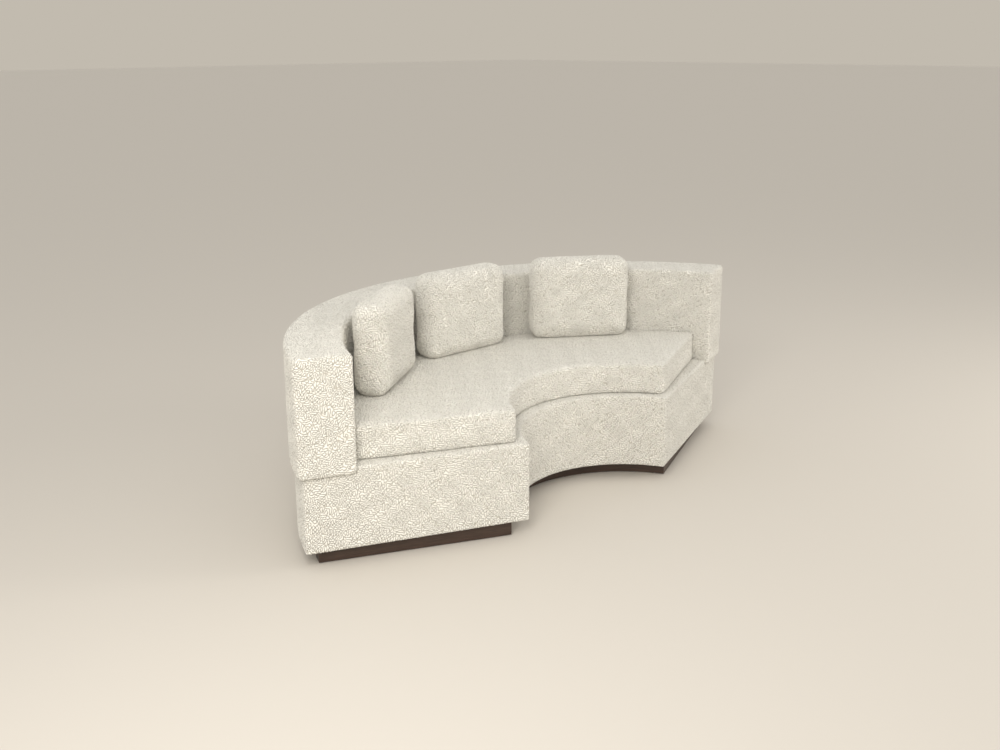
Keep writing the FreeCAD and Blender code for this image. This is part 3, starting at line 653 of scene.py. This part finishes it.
upholster(
    base_cover(), "sofa_frame", 0.9,
    "base_cover", "base_front_foam", "base_rear_foam", "base_left_foam", "base_right_foam",
)
upholster(
    back_cover(), "sofa_frame", 0.9,
    "back_cover", "back_top_foam", "back_inner_foam", "back_outer_foam", "back_left_foam",
    "back_right_foam",
)
upholster(seat_cushion(), "seat_cushion", 0.85, "seat_cushion_cover", "seat_cushion_core")
for side in BACK_CUSHION_ANGLES:
    stem = "back_cushion_" + side
    upholster(back_cushion(side), stem, 0.7, stem + "_cover", stem + "_inner")


# Sheets
def stretched_cloth(name, inner_r, outer_r, low, thick, material, slot, *nodes):
    """A cloth cut to a curved panel and sewn in flat, so that it lies stretched."""
    profile = [(inner_r, low), (outer_r, low), (outer_r, low + thick), (inner_r, low + thick)]
    bm = arc_block(profile, HALF_SWEEP, CLOTH_INSET, BASE_STEPS)
    piece = new_piece(name, finish_mesh(name, bm, smooth=False))
    piece.data.materials.append(material)
    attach(piece, "sofa_frame")
    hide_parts(*nodes)


stretched_cloth(
    "deck_cotton_cloth", DECK_IN_R - CLOTH_SEAM, DECK_OUT_R + CLOTH_SEAM, DECK_CLOTH_Z, DECK_CLOTH_T,
    COTTON, "deck_cloth", "deck_cloth", "deck_pad",
)
stretched_cloth(
    "dust_cloth_under_base", DUST_IN_R - CLOTH_SEAM, DUST_OUT_R + CLOTH_SEAM, DUST_CLOTH_Z, DUST_CLOTH_T,
    SPUNBOND, "dust_cloth", "dust_cloth",
)


# Zips
def zip_strip(name, half_length, place, body, replaced):
    """A tape with one nylon tooth after another down its middle, laid out flat and then placed."""
    bm = bmesh.new()
    bmesh.ops.create_grid(bm, x_segments=80, y_segments=2, size=1.0)
    bmesh.ops.scale(bm, vec=(half_length, TAPE_W / 2, 1), verts=bm.verts)
    bmesh.ops.solidify(bm, geom=bm.faces[:], thickness=TAPE_T)
    lift = TAPE_T - max(v.co.z for v in bm.verts)
    bmesh.ops.translate(bm, vec=(0, 0, lift), verts=bm.verts)
    tape_faces = len(bm.faces)
    teeth = int(2 * half_length / TOOTH_PITCH) - 2
    across = Matrix.Rotation(math.pi / 2, 4, "X")
    flattened = Matrix.Diagonal((TOOTH_T / 2, 1.0, COIL_T / 2, 1.0)) @ across
    for i in range(teeth):
        x = (i - (teeth - 1) / 2) * TOOTH_PITCH
        stand = Matrix.Translation((x, 0, TAPE_T + COIL_T / 2)) @ flattened
        bmesh.ops.create_cone(
            bm, cap_ends=True, segments=8, radius1=1.0, radius2=1.0, depth=COIL_W, matrix=stand
        )
    for vertex in bm.verts:
        vertex.co = place(vertex.co)
    bm.faces.ensure_lookup_table()
    for face in bm.faces[tape_faces:]:
        face.material_index = 1
    bmesh.ops.recalc_face_normals(bm, faces=bm.faces)
    piece = new_piece(name, finish_mesh(name, bm, smooth=False))
    piece.data.materials.append(ZIP_TAPE)
    piece.data.materials.append(NYLON)
    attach(piece, body)
    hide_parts(replaced)


def zip_slider(name, place, body, replaced):
    """A nickel slider astride the teeth, with a short pull that lies on them."""
    def round_edges(edges, radius):
        bmesh.ops.bevel(
            bm, geom=edges, offset=radius, affect="EDGES", segments=2, profile=0.5, material=-1
        )

    bm = bmesh.new()
    bmesh.ops.create_cube(bm, size=1.0)
    bmesh.ops.scale(bm, vec=(SLIDER_L, SLIDER_W, SLIDER_ROOF - SLIDER_FOOT), verts=bm.verts)
    bmesh.ops.translate(bm, vec=(0, 0, (SLIDER_ROOF + SLIDER_FOOT) / 2), verts=bm.verts)
    for vertex in bm.verts:
        if vertex.co.x < 0:
            vertex.co.y *= SLIDER_NOSE
    round_edges(bm.edges[:], SLIDER_EDGE_R)
    pull = bmesh.ops.create_cube(bm, size=1.0)["verts"]
    bmesh.ops.scale(bm, vec=(PULL_L, PULL_W, PULL_T), verts=pull)
    bmesh.ops.translate(bm, vec=(-PULL_OUT, 0, PULL_LIFT), verts=pull)
    round_edges(list({e for v in pull for e in v.link_edges}), PULL_EDGE_R)
    for vertex in bm.verts:
        vertex.co = place(vertex.co)
    bmesh.ops.recalc_face_normals(bm, faces=bm.faces)
    piece = new_piece(name, finish_mesh(name, bm))
    piece.data.materials.append(NICKEL)
    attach(piece, body)
    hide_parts(replaced)


def on_seat_wall(start):
    """Bends a flat layout round the seat cushion's rear wall, from an angle on the arc."""
    def place(co):
        angle = start + co.x / SEAT_ZIP_R
        radius = SEAT_ZIP_R + co.z
        return CENTRE + Vector((radius * math.sin(angle), radius * math.cos(angle), SEAT_MID + co.y))
    return place


def under_cushion(side, shift):
    """Turns a flat layout over into the groove in the foot of a back cushion."""
    flip = Matrix.Rotation(math.pi, 4, "X")
    whole = cushion_place(side) @ Matrix.Translation((shift, 0, GROOVE_D)) @ flip

    def place(co):
        return whole @ co
    return place


zip_strip("seat_zip", SEAT_ZIP_HALF * SEAT_ZIP_R, on_seat_wall(0.0), "seat_cushion", "seat_cushion_zip")
zip_slider(
    "seat_zip_pull", on_seat_wall(SEAT_SLIDER_IN - SEAT_ZIP_HALF), "seat_zip_slider",
    "seat_cushion_zip_slider",
)
for side in BACK_CUSHION_ANGLES:
    stem = "back_cushion_" + side
    zip_strip(side + "_cushion_zip", BACK_ZIP_HALF_L, under_cushion(side, 0.0), stem, stem + "_zip")
    zip_slider(
        side + "_cushion_zip_pull", under_cushion(side, BACK_ZIP_HALF_L - SLIDER_L), side + "_zip_slider",
        stem + "_zip_slider",
    )

# Carried-over pieces get their finish by the record's slot
FINISHES = {
    "boucle": BOUCLE, "plinth_wood": PLINTH_WOOD, "frame_ply": BIRCH_PLY, "bent_ply": BENT_PLY,
    "foam": FOAM, "cushion_inner": COTTON, "webbing": WEBBING, "felt": FELT, "deck_cloth": COTTON,
    "dust_cloth": SPUNBOND, "zip_tape": ZIP_TAPE, "zip_slider": NICKEL, "zinc_steel": ZINC,
}
for part in frame["record"]["subparts"]:
    mesh = frame["nodes"][part["node"]].data
    mesh.materials.clear()
    mesh.materials.append(FINISHES[part["material_slot"]])


# Floor, lights and camera
FLOOR_HALF = 60


def studio():
    """A pale floor, and an even light from all round."""
    bm = bmesh.new()
    bmesh.ops.create_grid(bm, x_segments=1, y_segments=1, size=FLOOR_HALF)
    floor = new_piece("studio_floor", finish_mesh("studio_floor", bm, smooth=False))
    material, tree = new_material("pale_studio_floor")
    surface(tree, {"Base Color": linear("#cdc7be"), "Roughness": 0.7})
    floor.data.materials.append(material)

    world = bpy.data.worlds.new("studio")
    world.use_nodes = True
    tree = world.node_tree
    tree.nodes.clear()
    light = node(tree, "Background", {"Color": linear("#e3e1dd"), "Strength": 1.08})
    # Beyond the floor the camera sees the floor's own tone, and so do gloss and glass
    shown = node(tree, "Background", {"Color": linear("#c2bbaf"), "Strength": 1.0})
    rays = node(tree, "LightPath", {}).outputs
    sharp = {0: rays["Is Glossy Ray"], 1: rays["Is Transmission Ray"]}
    either = node(tree, "Math", sharp, operation="MAXIMUM").outputs[0]
    seen = node(tree, "Math", {0: rays["Is Camera Ray"], 1: either}, operation="MAXIMUM").outputs[0]
    mixed = node(tree, "MixShader", {0: seen, 1: light.outputs[0], 2: shown.outputs[0]})
    node(tree, "OutputWorld", {"Surface": mixed.outputs[0]})
    bpy.context.scene.world = world


def area_light(name, place, target, size, power, code):
    data = bpy.data.lights.new(name, "AREA")
    data.size = size
    data.energy = power
    data.color = linear(code)[:3]
    lamp = bpy.data.objects.new(name, data)
    lamp.location = place
    lamp.rotation_euler = (Vector(target) - Vector(place)).to_track_quat("-Z", "Y").to_euler()
    bpy.context.scene.collection.objects.link(lamp)


CAMERA_PLACE = Vector((-2.91898, -3.01380, 1.57105))
CAMERA_YAW = math.radians(44.059)
CAMERA_PITCH = math.radians(15.934)
CAMERA_ROLL = math.radians(-0.210)
# Both in millimetres
CAMERA_LENS = 42.58
CAMERA_SENSOR_W = 36


def photo_camera():
    data = bpy.data.cameras.new("photo_camera")
    data.sensor_width = CAMERA_SENSOR_W
    data.lens = CAMERA_LENS
    camera = bpy.data.objects.new("photo_camera", data)
    level = math.cos(CAMERA_PITCH)
    ahead = Vector(
        (math.sin(CAMERA_YAW) * level, math.cos(CAMERA_YAW) * level, -math.sin(CAMERA_PITCH))
    )
    right = Vector((math.cos(CAMERA_YAW), -math.sin(CAMERA_YAW), 0))
    up = right.cross(ahead)
    rolled_right = right * math.cos(CAMERA_ROLL) + up * math.sin(CAMERA_ROLL)
    rolled_up = up * math.cos(CAMERA_ROLL) - right * math.sin(CAMERA_ROLL)
    turn = Matrix((rolled_right, rolled_up, -ahead)).transposed()
    camera.matrix_world = Matrix.Translation(CAMERA_PLACE) @ turn.to_4x4()
    bpy.context.scene.collection.objects.link(camera)
    bpy.context.scene.camera = camera


studio()
area_light("key", (-3.4, -2.6, 2.4), (0, 0, 0.3), 1.6, 78, "#fffbf4")
area_light("near", (-1.9, -1.3, 2.0), (-0.95, -0.1, 0.6), 0.6, 11, "#fffbf4")
area_light("right", (3.0, -3.2, 1.8), (0.6, -0.4, 0.3), 1.6, 50, "#fffbf4")
photo_camera()
bpy.context.scene.view_settings.view_transform = "Standard"
